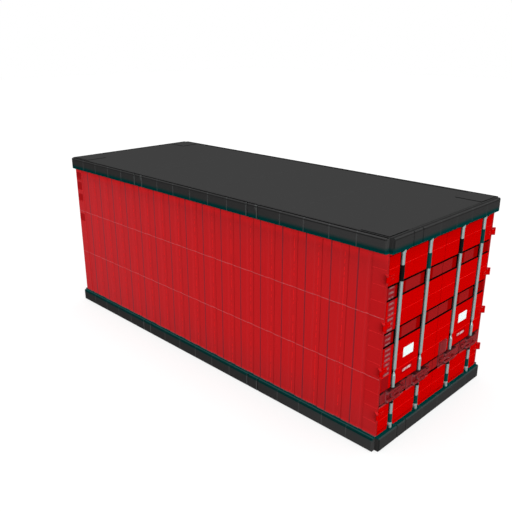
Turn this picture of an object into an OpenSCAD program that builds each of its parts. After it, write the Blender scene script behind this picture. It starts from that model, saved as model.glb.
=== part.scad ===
// Shipping container with corrugated walls, two hinged door leaves and four lock rods.
// Millimetres. +X points out of the door end, -Y is the left side seen from the doors,
// and the origin is on the ground at the middle of the base.

/* [Overall] */
// Length over the end rails
overall_length = 6058; // [5400:1:7000]
// Width over the side rails
overall_width = 2390; // [2300:1:2600]
// Height to the top of the rails
frame_height = 2434; // [2300:1:2900]

/* [Rails] */
// Height of every bottom and top rail
rail_height = 168; // [150:1:200]
// How far a rail stands out from the wall it carries
rail_proud = 58; // [52:1:80]
// How far a rail's flanges reach in behind the wall
rail_flange = 60; // [40:1:90]
// How far the sill and the header reach in behind the doors
door_frame_depth = 100; // [92:1:130]
// Thickness of a rail's flanges
flange_plate = 8; // [5:1:12]
// Thickness of a rail's web behind the wall
rail_web = 10; // [6:1:20]
// Bevel along a rail's outer edges
rail_bevel = 12; // [6:1:18]
// Width of the notch on each side of a joint block
notch_width = 24; // [12:1:40]
// Depth of that notch
notch_depth = 40; // [20:1:48]
// Width of a rail's seam grooves
seam_width = 6; // [3:1:10]
// Depth of a rail's seam grooves
seam_depth = 3; // [1:0.5:4]
// Drop of the header's lip behind the doors
header_lip = 50; // [40:1:80]
// Thickness of the header's lip
header_lip_plate = 14; // [8:1:14]

/* [Corners] */
// Length of a corner casting along the container
casting_length = 178; // [178:1:200]
// Width of a corner casting across the container
casting_width = 162; // [160:1:180]
// Wall of a corner casting
casting_wall = 16; // [12:1:20]
// Floor of a corner casting around its slot
casting_floor = 28; // [20:1:32]
// Length of the twist-lock slot
slot_length = 124; // [120:1:128]
// Width of the twist-lock slot
slot_width = 63.5; // [60:0.5:66]
// Slot centre from the end face of a casting
slot_from_end = 101.5; // [95:0.5:106]
// Slot centre from the side face of a casting
slot_from_side = 89; // [80:1:95]
// Leg of a front post's angle section
front_post_leg = 174; // [140:1:220]
// Plate of a front post
front_post_plate = 24; // [12:1:30]
// Depth of a door post along the container
door_post_depth = 174; // [150:1:220]
// Plate of a door post beside the leaf
door_post_plate = 26; // [16:1:30]
// How far a door post's jamb reaches behind the leaf
jamb_reach = 71; // [50:1:90]
// Length of a door post's jamb along the container
jamb_depth = 88; // [60:1:88]

/* [Walls and roof] */
// Thickness of the wall sheet
sheet = 4; // [2:0.5:6]
// Depth of the corrugation
corrugation_depth = 6; // [4:1:16]
// Width of the sloped sides of a corrugation
corrugation_slope = 16; // [6:1:40]
// Width of the inner flats
inner_flat = 90; // [60:1:120]
// Thickness of the roof sheet
roof_sheet = 4; // [2:0.5:6]
// Drop from the rails' top to the roof
roof_drop = 4; // [2:1:10]
// Gap between the roof sheet and the rails
roof_gap = 6; // [3:1:12]
// Side of a roof corner plate
corner_plate = 330; // [250:1:400]
// Thickness of a roof corner plate
corner_plate_t = 8; // [5:1:12]
// Distance of a corner plate from the wall planes
corner_plate_inset = 20; // [10:1:40]

/* [Floor] */
// Thickness of the plywood floor
floor_t = 28; // [20:1:32]
// Drop from the rails' top to the floor
floor_drop = 4; // [2:1:10]
// Gap around the floor
floor_gap = 2; // [1:1:5]
// Height of the cross members
cross_height = 120; // [100:1:124]
// Flange of the cross members
cross_flange = 45; // [35:1:60]
// Plate of the cross members
cross_plate = 5; // [3:1:8]

/* [Doors] */
// Thickness of a leaf
leaf_t = 66; // [60:1:80]
// Gap between the two leaves
leaf_split = 6; // [5:1:24]
// Taper of a leaf's inner edge, wider apart at the back
leaf_taper = 5; // [5:1:10]
// Gap round a leaf
leaf_gap = 8; // [6:1:12]
// Gap between a leaf and its post
post_gap = 6; // [5:1:10]
// Height of the fixed strips above the sill and under the header
strip_height = 30; // [26:1:40]
// Height of the pressed bands in a leaf
band_height = 174; // [150:1:180]
// Depth of the pressed bands
band_depth = 12; // [6:1:16]
// Width of a band's sloped edges
band_slope = 10; // [6:1:20]
// Border of a leaf round the hollow of its inner face
leaf_border = 100; // [80:1:140]
// Depth of that hollow
leaf_hollow = 20; // [10:1:22]
// Thickness of the door seal
seal_t = 14; // [10:1:14]
// Width of the door seal
seal_width = 30; // [20:1:50]
// Distance of the seal from a leaf's edges
seal_inset = 10; // [5:1:20]

/* [Lock rods] */
// Distance of the inner rods from the middle
inner_rod_y = 350; // [300:1:400]
// Distance of the outer rods from a leaf's outer edge
outer_rod_inset = 230; // [200:1:300]
// Radius of a rod
rod_r = 22; // [17:0.5:24]
// Distance of a rod's axis in front of the leaf
rod_out = 4; // [0:1:8]
// Running clearance round a rod in its brackets
running_gap = 0.05; // [0.03:0.01:0.1]
// Width of the channel behind a rod
channel_width = 80; // [64:1:90]
// Depth of that channel
channel_depth = 34; // [33:1:38]
// Radius of the cams at a rod's ends
cam_r = 27; // [25:1:28]
// Height of a cam
cam_height = 38; // [30:1:44]
// Gap between a cam and the rail beside it
cam_gap = 5; // [4:1:8]
// Radius of a rod at its waist
waist_r = 8; // [6:1:14]
// Height over which a rod narrows, on each side of its waist
waist_height = 42; // [30:1:60]
// Width of a rod bracket
bracket_width = 52; // [50:1:58]
// Height of an upper rod bracket
upper_bracket = 174; // [120:1:180]
// Height of a lower rod bracket
lower_bracket = 136; // [100:1:150]
// Plate of a cam keeper
keeper_plate = 8; // [5:1:12]
// Reach of a cam keeper in front of the leaf
keeper_reach = 42; // [34:1:50]

/* [Handles] */
// Width of a handle's housing
housing_width = 240; // [180:1:260]
// How far a housing stands out from the leaf
housing_proud = 34; // [34:1:36]
// Bevel round a housing's front
housing_bevel = 5; // [2:1:6]
// Reach of a housing's backing plate on each side of its rod
plate_reach = 245; // [200:1:255]
// How far a backing plate stands out from the leaf
plate_proud = 3; // [1:1:4]
// Gap between the outer backing plates and a leaf's edge
plate_margin = 8; // [4:1:30]
// Height of a handle's hub
hub_height = 60; // [50:1:70]
// Radius of a handle's hub
hub_r = 28; // [27:0.5:32]
// Gap above and below a hub
hub_gap = 6; // [5:1:8]
// Gap between an outer lever's tip and the end of its backing plate
outer_lever_gap = 10; // [5:1:40]
// Gap between an inner lever's tip and the end of its backing plate
inner_lever_gap = 15; // [5:1:40]
// Height of a lever at its hub
lever_root = 46; // [36:1:50]
// Radius of a lever's tip
lever_tip = 17; // [12:1:18]
// Thickness of a lever
lever_plate = 12; // [8:1:14]
// Distance from the leaf to a lever
lever_off = 10; // [9:1:12]
// Width of the catch under a lever's tip
catch_width = 36; // [30:1:44]
// Plate of a catch
catch_plate = 8; // [5:1:10]
// Width of the lock box
lock_box_width = 157; // [120:1:180]
// Height of the lock box
lock_box_height = 172; // [120:1:174]
// How far the lock box stands out
lock_box_proud = 20; // [15:1:44]
// Distance of the lock box from the middle
lock_box_y = 85; // [20:1:110]
// Plate of the lock box, which is open below
lock_box_plate = 6; // [4:1:8]

/* [Hinges] */
// Distance of the hinge pins in front of the leaf
pin_out = 20; // [20:1:30]
// Distance of the hinge pins outside the side walls
pin_aside = 22; // [22:1:30]
// Radius of a hinge pin
pin_r = 7; // [6:0.5:8]
// Radius of a hinge knuckle
knuckle_r = 12; // [11:0.5:13]
// Height of a hinge blade
blade_height = 60; // [50:1:110]
// Plate of a hinge blade
blade_plate = 10; // [8:1:12]
// Gap between a blade and its post
blade_clear = 6; // [5:1:8]
// Reach of a blade across its leaf
blade_reach = 84; // [60:1:140]
// Height of a hinge lug
lug_height = 14; // [10:1:30]
// Gap between a lug and a blade
lug_gap = 2; // [1:0.5:4]
// Foot of a lug along its post
lug_foot = 30; // [20:1:60]
// Foot of a lug across the post's edge
lug_toe = 18; // [10:1:22]

/* [Hidden] */
$fn = 64;

frame_grey = [0.16, 0.17, 0.17];
body_red = [0.70, 0.11, 0.13];
door_red = [0.78, 0, 0];
dark_red = [0.48, 0.11, 0.13];
rod_grey = [0.61, 0.67, 0.66];
bracket_teal = [0, 0.24, 0.23];
seal_black = [0.05, 0.05, 0.05];
ply_brown = [0.55, 0.38, 0.22];

LEFT = -1;
RIGHT = 1;
overlap = 1;

// Planes of the walls and the clear height between the rails
wall_x = overall_length / 2 - rail_proud;
wall_y = overall_width / 2 - rail_proud;
sill_z = rail_height;
header_z = frame_height - rail_height;
wall_height = header_z - sill_z;

// Bays of the panel seams: 17 along a side, six and a half across an end, 12 rows up
side_bays = 17;
end_bays = 6.5;
rows = 12;
side_bay = 2 * wall_x / side_bays;
end_bay = 2 * wall_y / end_bays;
row = wall_height / rows;
function row_z(n) = sill_z + n * row;

roof_rebate = roof_drop + roof_sheet;
roof_z = frame_height - roof_rebate;
floor_z = sill_z - floor_drop - floor_t;

// Door leaf, lock rods and hinge pins
leaf_bottom = sill_z + strip_height + leaf_gap;
leaf_top = header_z - strip_height - leaf_gap;
leaf_edge = wall_y - door_post_plate - post_gap;
leaf_back = wall_x - leaf_t;
band_rows = [2.5, 6.5, 9.5];
handle_z = row_z(band_rows[0]);
hinge_rows = [1.5, 4.5, 7.5, 10.5];
outer_rod_y = leaf_edge - outer_rod_inset;
outer_lever = plate_reach - outer_lever_gap;
inner_lever = plate_reach - inner_lever_gap;
rod_x = wall_x + rod_out;
channel_x = wall_x - channel_depth;
band_x = wall_x - band_depth;
rod_bottom = sill_z + cam_gap;
rod_top = header_z - cam_gap;
waist_z = row_z(4);
lower_bracket_z = leaf_bottom + leaf_gap;
upper_bracket_z = row_z(10);
pin_x = wall_x + pin_out;
pin_y = wall_y + pin_aside;
rod_bore = rod_r + running_gap;
housing_gap = hub_height + 2 * hub_gap;

// A child on the right side, or its mirror image on the left
module on_side(side) {
    if (side == RIGHT) children();
    else mirror([0, 1, 0]) children();
}

// A child at all four corners
module at_corners() {
    for (side = [LEFT, RIGHT]) on_side(side) {
        children();
        mirror([1, 0, 0]) children();
    }
}

// A box between two corners
module box(low, high) {
    translate(low) cube(high - low);
}

// Grooves of a rail: place along it, half width and depth
function seam(x) = [x, seam_width / 2, seam_depth];
function notch(x) = [x, notch_width / 2, notch_depth];
function mirrored(grooves) = [
    for (i = [len(grooves) - 1 : -1 : 0]) let (g = grooves[i]) [-g[0], g[1], g[2]]
];

half_side_grooves = concat(
    [for (n = [1, 2]) seam(n * side_bay)],
    [notch(3 * side_bay), notch(3.5 * side_bay)],
    [for (n = [4.5 : 1 : 7.5]) seam(n * side_bay)]
);
side_grooves = concat(mirrored(half_side_grooves), [seam(0)], half_side_grooves);
end_grooves = concat(
    [for (n = [5.5 : -1 : 2.5]) seam(wall_y - n * end_bay)],
    [notch(wall_y - 1.5 * end_bay), notch(wall_y - end_bay)]
);

// Bar of a rail that stands out from the wall, with bevelled edges, joint notches and seams
module rail_bar(length, grooves) {
    half = length / 2;
    outline = concat(
        [[-half, 0], [-half, rail_proud - rail_bevel], [-half + rail_bevel, rail_proud]],
        [for (g = grooves) each [
            [g[0] - g[1], rail_proud], [g[0], rail_proud - g[2]], [g[0] + g[1], rail_proud]
        ]],
        [[half - rail_bevel, rail_proud], [half, rail_proud - rail_bevel], [half, 0]]
    );
    section = [
        [0, 0], [rail_proud - rail_bevel, 0], [rail_proud, rail_bevel],
        [rail_proud, rail_height - rail_bevel], [rail_proud - rail_bevel, rail_height], [0, rail_height]
    ];
    intersection() {
        linear_extrude(rail_height) polygon(outline);
        translate([-half, 0, 0]) rotate([90, 0, 90]) linear_extrude(length) polygon(section);
    }
}

// Channel of a rail behind the wall, open to the inside
module rail_channel(length, flange, height) {
    section = [
        [overlap, 0], [-flange, 0], [-flange, flange_plate], [-rail_web, flange_plate],
        [-rail_web, height - flange_plate], [-flange, height - flange_plate], [-flange, height],
        [overlap, height]
    ];
    translate([-length / 2, 0, 0]) rotate([90, 0, 90]) linear_extrude(length) polygon(section);
}

module side_rail(side, z, height) {
    color(frame_grey) on_side(side) translate([0, wall_y, z]) {
        rail_bar(2 * wall_x, side_grooves);
        rail_channel(2 * (wall_x - casting_length), rail_flange, height);
    }
}

// A child that lies along X and faces +Y, turned to the door end
module at_door_end(z) {
    translate([wall_x, 0, z]) rotate([0, 0, -90]) children();
}

module end_rail(z, flange, height) {
    at_door_end(z) {
        rail_bar(2 * wall_y, end_grooves);
        rail_channel(2 * (wall_y - casting_width), flange, height);
    }
}

module bottom_rail_left() side_rail(LEFT, 0, rail_height);
module bottom_rail_right() side_rail(RIGHT, 0, rail_height);
module top_rail_left() side_rail(LEFT, header_z, rail_height - roof_rebate);
module top_rail_right() side_rail(RIGHT, header_z, rail_height - roof_rebate);
module front_sill() color(frame_grey) mirror([1, 0, 0]) end_rail(0, rail_flange, rail_height);
module front_header() color(frame_grey)
    mirror([1, 0, 0]) end_rail(header_z, rail_flange, rail_height - roof_rebate);
module door_sill() color(frame_grey) end_rail(0, door_frame_depth, rail_height);

// The header's lip hangs behind the leaves and stops them
module door_header() color(frame_grey) {
    lip_x = wall_x - door_frame_depth;
    lip_y = wall_y - casting_width;
    end_rail(header_z, door_frame_depth, rail_height - roof_rebate);
    box([lip_x, -lip_y, header_z - header_lip], [lip_x + header_lip_plate, lip_y, header_z + flange_plate]);
}

// Bottom castings are hollow, with a twist-lock slot in the floor
module bottom_castings() color(frame_grey) at_corners() {
    low = [wall_x - casting_length, wall_y - casting_width, 0];
    high = [wall_x, wall_y, rail_height];
    wall = [casting_wall, casting_wall, casting_floor];
    straight = slot_length - slot_width;
    difference() {
        box(low, high);
        box(low + wall, high - wall);
        translate([wall_x - slot_from_end, wall_y - slot_from_side, -overlap]) {
            for (end = [-1, 1]) translate([end * straight / 2, 0, 0])
                cylinder(d = slot_width, h = casting_floor + 2 * overlap);
            translate([-straight / 2, -slot_width / 2, 0])
                cube([straight, slot_width, casting_floor + 2 * overlap]);
        }
    }
}

module top_castings() color(frame_grey) at_corners()
    box([wall_x - casting_length, wall_y - casting_width, header_z], [wall_x, wall_y, roof_z]);

// Front posts are angles
module front_post(side) color(body_red) on_side(side) mirror([1, 0, 0]) translate([wall_x, wall_y, sill_z])
    linear_extrude(wall_height) polygon([
        [0, 0], [-front_post_leg, 0], [-front_post_leg, -front_post_plate],
        [-front_post_plate, -front_post_plate], [-front_post_plate, -front_post_leg], [0, -front_post_leg]
    ]);
module front_post_left() front_post(LEFT);
module front_post_right() front_post(RIGHT);

// Door posts have a plate beside the leaf and a jamb behind it
module door_post(side) color(body_red) on_side(side) translate([wall_x, wall_y, sill_z])
    linear_extrude(wall_height) polygon([
        [0, 0], [-door_post_depth, 0], [-door_post_depth, -door_post_plate - jamb_reach],
        [-door_post_depth + jamb_depth, -door_post_plate - jamb_reach],
        [-door_post_depth + jamb_depth, -door_post_plate], [0, -door_post_plate]
    ]);
module door_post_left() door_post(LEFT);
module door_post_right() door_post(RIGHT);

// Corrugated sheet along X with its outer flats on y = 0 and a folded seam in each
module corrugated_sheet(length, count) {
    pitch = length / count;
    outer_flat = pitch - 2 * corrugation_slope - inner_flat;
    line = concat(
        [[-length / 2, corrugation_depth]],
        [for (n = [0 : count - 1]) let (c = (n + 0.5) * pitch - length / 2) each [
            [c - outer_flat / 2 - corrugation_slope, corrugation_depth], [c - outer_flat / 2, 0],
            [c - seam_width / 2, 0], [c, seam_depth], [c + seam_width / 2, 0],
            [c + outer_flat / 2, 0], [c + outer_flat / 2 + corrugation_slope, corrugation_depth]
        ]],
        [[length / 2, corrugation_depth]]
    );
    back = [for (i = [len(line) - 1 : -1 : 0]) line[i] + [0, sheet]];
    linear_extrude(wall_height) polygon([for (p = concat(line, back)) [p[0], -p[1]]]);
}

// A side wall runs from its front post to its door post
module side_wall(side) color(body_red) {
    from = -wall_x + front_post_leg;
    to = wall_x - door_post_depth;
    on_side(side) translate([(from + to) / 2, wall_y, sill_z])
        corrugated_sheet(to - from, round((to - from) / side_bay));
}
module side_wall_left() side_wall(LEFT);
module side_wall_right() side_wall(RIGHT);

module front_wall() color(body_red) {
    length = 2 * (wall_y - front_post_leg);
    mirror([1, 0, 0]) at_door_end(sill_z) corrugated_sheet(length, round(length / end_bay));
}

module roof_panel() color(frame_grey) {
    corner = [wall_x - roof_gap, wall_y - roof_gap, 0];
    translate([0, 0, roof_z]) box(-corner, corner + [0, 0, roof_sheet]);
}

module roof_corner_plates() color(frame_grey) at_corners() {
    far = [wall_x - corner_plate_inset, wall_y - corner_plate_inset, roof_z + roof_sheet];
    box(far - [corner_plate, corner_plate, 0], far + [0, 0, corner_plate_t]);
}

// The floor fits between the rails and round the castings
module plywood_floor() color(ply_brown) {
    low = [-wall_x + rail_flange + floor_gap, -wall_y + rail_flange + floor_gap, floor_z];
    high = [wall_x - door_frame_depth - floor_gap, -low[1], floor_z + floor_t];
    corner = [casting_length, casting_width, 0] + [floor_gap, floor_gap, overlap];
    difference() {
        box(low, high);
        at_corners() box([wall_x, wall_y, floor_z] - corner, [wall_x, wall_y, floor_z + floor_t + overlap]);
    }
}

// Channel members across the base, one in each bay, that carry the floor
module cross_members() color(frame_grey) {
    reach = wall_y - rail_web;
    section = [
        [0, 0], [cross_flange, 0], [cross_flange, cross_plate], [cross_plate, cross_plate],
        [cross_plate, cross_height - cross_plate], [cross_flange, cross_height - cross_plate],
        [cross_flange, cross_height], [0, cross_height]
    ];
    for (n = [-7.5 : 1 : 7.5]) translate([n * side_bay, reach, floor_z - cross_height])
        rotate([90, 0, 0]) linear_extrude(2 * reach) polygon(section);
}

// Channels behind the lock rods of one side
module rod_channels(from, to) {
    for (y = [inner_rod_y, outer_rod_y])
        box([channel_x, y - channel_width / 2, from], [wall_x + overlap, y + channel_width / 2, to]);
}

// Fixed strips above the sill and under the header, open at the cams
module door_strips() color(door_red) for (z = [sill_z, header_z - strip_height]) difference() {
    box([leaf_back, -leaf_edge, z], [wall_x, leaf_edge, z + strip_height]);
    for (side = [LEFT, RIGHT]) on_side(side) rod_channels(z - overlap, z + strip_height + overlap);
}

// A pair of cheeks on the sill beside each cam, and the same under the header
module cam_keepers() color(bracket_teal) {
    cheek = [
        [0, 0], [keeper_reach, 0], [keeper_reach, strip_height / 3],
        [keeper_reach / 2, strip_height], [0, strip_height]
    ];
    for (side = [LEFT, RIGHT], y = [inner_rod_y, outer_rod_y], edge = [-1, 1])
        translate([wall_x, side * (y + edge * (channel_width + keeper_plate) / 2) + keeper_plate / 2, 0]) {
            translate([0, 0, sill_z]) rotate([90, 0, 0]) linear_extrude(keeper_plate) polygon(cheek);
            translate([0, 0, header_z]) mirror([0, 0, 1]) rotate([90, 0, 0]) linear_extrude(keeper_plate)
                polygon(cheek);
        }
}

// Point on the knuckle's rim square to the line from a foot of the lug
function rim(foot, turn) =
    let (way = [pin_x, pin_y] - foot) [pin_x, pin_y] + knuckle_r * turn * [-way[1], way[0]] / norm(way);

// Hinge lugs stand on the corner of a door post, in pairs with a pin between them
module hinge_lugs(side) color(body_red) {
    heel = [wall_x - lug_foot, wall_y];
    toe = [wall_x, wall_y - lug_toe];
    lug_z = blade_height / 2 + lug_gap;
    on_side(side) for (n = hinge_rows) translate([0, 0, row_z(n)]) {
        for (z = [lug_z, -lug_z - lug_height]) translate([0, 0, z]) {
            linear_extrude(lug_height)
                polygon([heel, rim(heel, 1), [pin_x, pin_y], rim(toe, -1), toe, [wall_x, wall_y]]);
            translate([pin_x, pin_y, 0]) cylinder(r = knuckle_r, h = lug_height);
        }
        translate([pin_x, pin_y, -lug_z]) cylinder(r = pin_r, h = 2 * lug_z);
    }
}
module hinge_lugs_left() hinge_lugs(LEFT);
module hinge_lugs_right() hinge_lugs(RIGHT);

// A leaf with three pressed bands, channels for its rods and a hollow inner face
module door_leaf(side) color(door_red) on_side(side) {
    inner_edge = leaf_split / 2;
    half = band_height / 2;
    band = [
        [overlap, -half - band_slope * overlap / band_depth], [-band_depth, -half + band_slope],
        [-band_depth, half - band_slope], [overlap, half + band_slope * overlap / band_depth]
    ];
    outline = [
        [wall_x, inner_edge], [wall_x, leaf_edge],
        [leaf_back, leaf_edge], [leaf_back, inner_edge + leaf_taper]
    ];
    difference() {
        translate([0, 0, leaf_bottom]) linear_extrude(leaf_top - leaf_bottom) polygon(outline);
        for (n = band_rows) translate([wall_x, leaf_edge + overlap, row_z(n)]) rotate([90, 0, 0])
            linear_extrude(leaf_edge - inner_edge + 2 * overlap) polygon(band);
        rod_channels(leaf_bottom - overlap, leaf_top + overlap);
        box([leaf_back - overlap, inner_edge + leaf_border, leaf_bottom + leaf_border],
            [leaf_back + leaf_hollow, leaf_edge - leaf_border, leaf_top - leaf_border]);
    }
}
module left_door_leaf() door_leaf(LEFT);
module right_door_leaf() door_leaf(RIGHT);

// Rubber seal round the inner face of a leaf
module door_seal(side) color(seal_black) on_side(side) {
    low = [leaf_back - seal_t, leaf_split / 2 + leaf_taper + seal_inset, leaf_bottom + seal_inset];
    high = [leaf_back, leaf_edge - seal_inset, leaf_top - seal_inset];
    difference() {
        box(low, high);
        box(low + [-overlap, seal_width, seal_width], high + [overlap, -seal_width, -seal_width]);
    }
}
module left_door_seal() door_seal(LEFT);
module right_door_seal() door_seal(RIGHT);

// Hinge blades reach from the pins, past the post's edge, onto the leaf
module door_hinges(side) color(door_red) on_side(side) {
    arm_x = wall_x + blade_clear;
    step_y = leaf_edge - post_gap;
    for (n = hinge_rows) translate([0, 0, row_z(n) - blade_height / 2]) difference() {
        union() {
            translate([pin_x, pin_y, 0]) cylinder(r = knuckle_r, h = blade_height);
            box([arm_x, step_y - blade_plate, 0], [arm_x + blade_plate, pin_y, blade_height]);
            box([wall_x, leaf_edge - blade_reach, 0], [wall_x + blade_plate, step_y, blade_height]);
        }
        translate([pin_x, pin_y, -overlap])
            cylinder(r = pin_r + running_gap, h = blade_height + 2 * overlap);
    }
}
module left_door_hinges() door_hinges(LEFT);
module right_door_hinges() door_hinges(RIGHT);

// Sleeve round a rod, seated in its channel
module rod_bracket(y, z, height) translate([rod_x, y, z]) difference() {
    union() {
        cylinder(d = bracket_width, h = height);
        translate([channel_x - rod_x, -bracket_width / 2, 0])
            cube([rod_x - channel_x, bracket_width, height]);
    }
    translate([0, 0, -overlap]) cylinder(r = rod_bore, h = height + 2 * overlap);
}

module rod_brackets(side) color(bracket_teal) on_side(side) for (y = [inner_rod_y, outer_rod_y]) {
    rod_bracket(y, lower_bracket_z, lower_bracket);
    rod_bracket(y, upper_bracket_z, upper_bracket);
}
module left_rod_brackets() rod_brackets(LEFT);
module right_rod_brackets() rod_brackets(RIGHT);

// Block of a housing, bevelled round its front, bored for the rod and seated in the rod's channel
module housing_block(low, high) difference() {
    union() {
        intersection() {
            translate([0, 0, low]) linear_extrude(high - low)
                polygon(bevelled(band_x, wall_x + housing_proud, -housing_width / 2, housing_width / 2));
            translate([0, housing_width / 2, 0]) rotate([90, 0, 0]) linear_extrude(housing_width)
                polygon(bevelled(band_x, wall_x + housing_proud, low, high));
        }
        box([channel_x, -bracket_width / 2, low], [wall_x, bracket_width / 2, high]);
    }
    translate([rod_x, 0, low - overlap]) cylinder(r = rod_bore, h = high - low + 2 * overlap);
}

// Rectangle whose two front corners, at the higher x, are bevelled
function bevelled(back, front, low, high) = [
    [back, low], [front - housing_bevel, low], [front, low + housing_bevel],
    [front, high - housing_bevel], [front - housing_bevel, high], [back, high]
];

// Housing of a handle: a block above and one below its hub, and a backing plate on each side of the rod
module handle_housing(y, inward, outward) translate([0, y, 0]) {
    floor_half = band_height / 2 - band_slope;
    plate_x = wall_x + plate_proud;
    housing_block(-floor_half, -housing_gap / 2);
    housing_block(housing_gap / 2, floor_half);
    box([band_x, channel_width / 2, -floor_half], [plate_x, outward, floor_half]);
    box([band_x, -inward, -floor_half], [plate_x, -channel_width / 2, floor_half]);
}

// Catch for the tip of a lever, open to the front
module handle_catch(y) {
    inner = lever_root / 2 + hub_gap;
    outer = inner + catch_plate;
    front = wall_x + lever_off + lever_plate;
    difference() {
        box([band_x, y - catch_width / 2, -outer], [front, y + catch_width / 2, outer]);
        box([band_x + catch_plate, y - catch_width, -inner], [front + overlap, y + catch_width, inner]);
    }
}

module handle_housings(side) color(dark_red) on_side(side) translate([0, 0, handle_z]) {
    handle_housing(inner_rod_y, plate_reach, plate_reach);
    handle_housing(outer_rod_y, plate_reach, outer_rod_inset - plate_margin);
    handle_catch(inner_rod_y - inner_lever + catch_width);
    handle_catch(outer_rod_y - outer_lever + catch_width);
}
module left_handle_housings() handle_housings(LEFT);
module right_handle_housings() handle_housings(RIGHT);

module right_lock_box() color(dark_red) {
    section = [
        [0, 0], [lock_box_proud - band_slope, 0], [lock_box_proud, band_slope],
        [lock_box_proud, lock_box_height - band_slope], [lock_box_proud - band_slope, lock_box_height],
        [0, lock_box_height]
    ];
    inside = [lock_box_proud, lock_box_width, lock_box_height] - lock_box_plate * [1, 2, 1];
    translate([wall_x, lock_box_y, row_z(3)]) difference() {
        translate([0, lock_box_width, 0]) rotate([90, 0, 0]) linear_extrude(lock_box_width) polygon(section);
        translate([0, lock_box_plate, 0]) box([-overlap, 0, -overlap], inside);
    }
}

// A lock rod with a cam at each end and a waist above its handle
module lock_rod(side, y) color(rod_grey) translate([rod_x, side * y, 0]) rotate_extrude() polygon([
    [0, rod_bottom], [cam_r, rod_bottom], [cam_r, rod_bottom + cam_height],
    [rod_r, rod_bottom + cam_height],
    [rod_r, waist_z - waist_height], [waist_r, waist_z], [rod_r, waist_z + waist_height],
    [rod_r, rod_top - cam_height], [cam_r, rod_top - cam_height], [cam_r, rod_top], [0, rod_top]
]);
module left_outer_rod() lock_rod(LEFT, outer_rod_y);
module left_inner_rod() lock_rod(LEFT, inner_rod_y);
module right_inner_rod() lock_rod(RIGHT, inner_rod_y);
module right_outer_rod() lock_rod(RIGHT, outer_rod_y);

// A handle: a hub on the rod and a flat tapered lever towards the middle
module handle(side, y, length) color(dark_red) on_side(side) translate([rod_x, y, handle_z]) difference() {
    union() {
        translate([0, 0, -hub_height / 2]) cylinder(r = hub_r, h = hub_height);
        translate([wall_x + lever_off - rod_x, 0, 0]) rotate([90, 0, 90]) linear_extrude(lever_plate) {
            polygon([
                [0, -lever_root / 2], [0, lever_root / 2],
                [-length + lever_tip, lever_tip], [-length + lever_tip, -lever_tip]
            ]);
            translate([-length + lever_tip, 0]) circle(lever_tip);
        }
    }
    translate([0, 0, -hub_height]) cylinder(r = rod_bore, h = 2 * hub_height);
}
module left_outer_handle() handle(LEFT, outer_rod_y, outer_lever);
module left_inner_handle() handle(LEFT, inner_rod_y, inner_lever);
module right_inner_handle() handle(RIGHT, inner_rod_y, inner_lever);
module right_outer_handle() handle(RIGHT, outer_rod_y, outer_lever);

bottom_rail_left();
bottom_rail_right();
front_sill();
door_sill();
top_rail_left();
top_rail_right();
front_header();
door_header();
bottom_castings();
top_castings();
front_post_left();
front_post_right();
door_post_left();
door_post_right();
side_wall_left();
side_wall_right();
front_wall();
roof_panel();
roof_corner_plates();
plywood_floor();
cross_members();
door_strips();
cam_keepers();
hinge_lugs_left();
hinge_lugs_right();
left_door_leaf();
left_door_seal();
left_door_hinges();
left_rod_brackets();
left_handle_housings();
right_door_leaf();
right_door_seal();
right_door_hinges();
right_rod_brackets();
right_handle_housings();
right_lock_box();
left_outer_rod();
left_outer_handle();
left_inner_rod();
left_inner_handle();
right_inner_rod();
right_inner_handle();
right_outer_rod();
right_outer_handle();
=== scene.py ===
import math
from functools import reduce
from itertools import product

import bmesh
import bpy
from mathutils import Matrix, Vector


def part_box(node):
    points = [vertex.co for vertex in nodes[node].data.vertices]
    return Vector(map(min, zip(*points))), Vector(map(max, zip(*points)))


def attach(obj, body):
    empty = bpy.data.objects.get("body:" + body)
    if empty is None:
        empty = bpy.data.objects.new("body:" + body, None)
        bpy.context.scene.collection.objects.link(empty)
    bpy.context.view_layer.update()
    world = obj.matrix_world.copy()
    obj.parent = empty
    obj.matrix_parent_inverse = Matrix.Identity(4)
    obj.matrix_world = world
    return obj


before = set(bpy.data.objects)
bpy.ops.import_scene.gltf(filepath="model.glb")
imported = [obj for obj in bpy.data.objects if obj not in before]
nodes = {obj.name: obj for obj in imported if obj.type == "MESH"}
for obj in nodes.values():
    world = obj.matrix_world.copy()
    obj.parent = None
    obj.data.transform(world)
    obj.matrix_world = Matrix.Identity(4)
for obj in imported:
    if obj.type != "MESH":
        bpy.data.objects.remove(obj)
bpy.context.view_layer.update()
print("frame loaded:", len(nodes), "nodes")

# how the container is set out: its counts, and the sizes that no box of the frame gives
layout = {
    "rows": 12,  # rows of panels between the sills and the headers
    "sideBays": 17,  # bays of the side rails
    "endBays": 6.5,  # bays of the end rails
    "sideFolds": 16,  # folds of a side wall
    "frontFolds": 6,  # folds of the front wall
    "jointBay": 3.25,  # joint blocks of the side rails, in bays from the middle
    "bandRows": (2.5, 6.5, 9.5),  # pressed bands of the leaves
    "hingeRows": (1.5, 4.5, 7.5, 10.5),
    "bandHalf": 0.087,
    "channelHalf": 0.040,  # half width of the rod channels
    "channelDeep": 0.036,
    "rodRadius": 0.022,
    "bladeProud": 0.010,  # hinge blades, out from the leaves
    "cornerPlate": 0.330,  # side of a roof corner plate
}

# places that the looks hang on, read off the frame
wallLow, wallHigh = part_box("side_wall_left")
frontLow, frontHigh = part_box("front_wall")
roofLow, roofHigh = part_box("roof_panel")
sillZ = wallLow.z
headerZ = wallHigh.z
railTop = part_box("top_rail_left")[1].z
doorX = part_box("left_door_leaf")[1].x  # outer face of the leaves
sideY = -wallLow.y  # outer face of the side walls
railProud = -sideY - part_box("bottom_rail_left")[0].y  # how far the rails stand out
rowStep = (headerZ - sillZ) / layout["rows"]
sideBay = 2 * doorX / layout["sideBays"]
endBay = 2 * sideY / layout["endBays"]


def rowZ(number):
    return sillZ + number * rowStep


def middle(node):
    low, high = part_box(node)
    return (low + high) / 2


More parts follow.
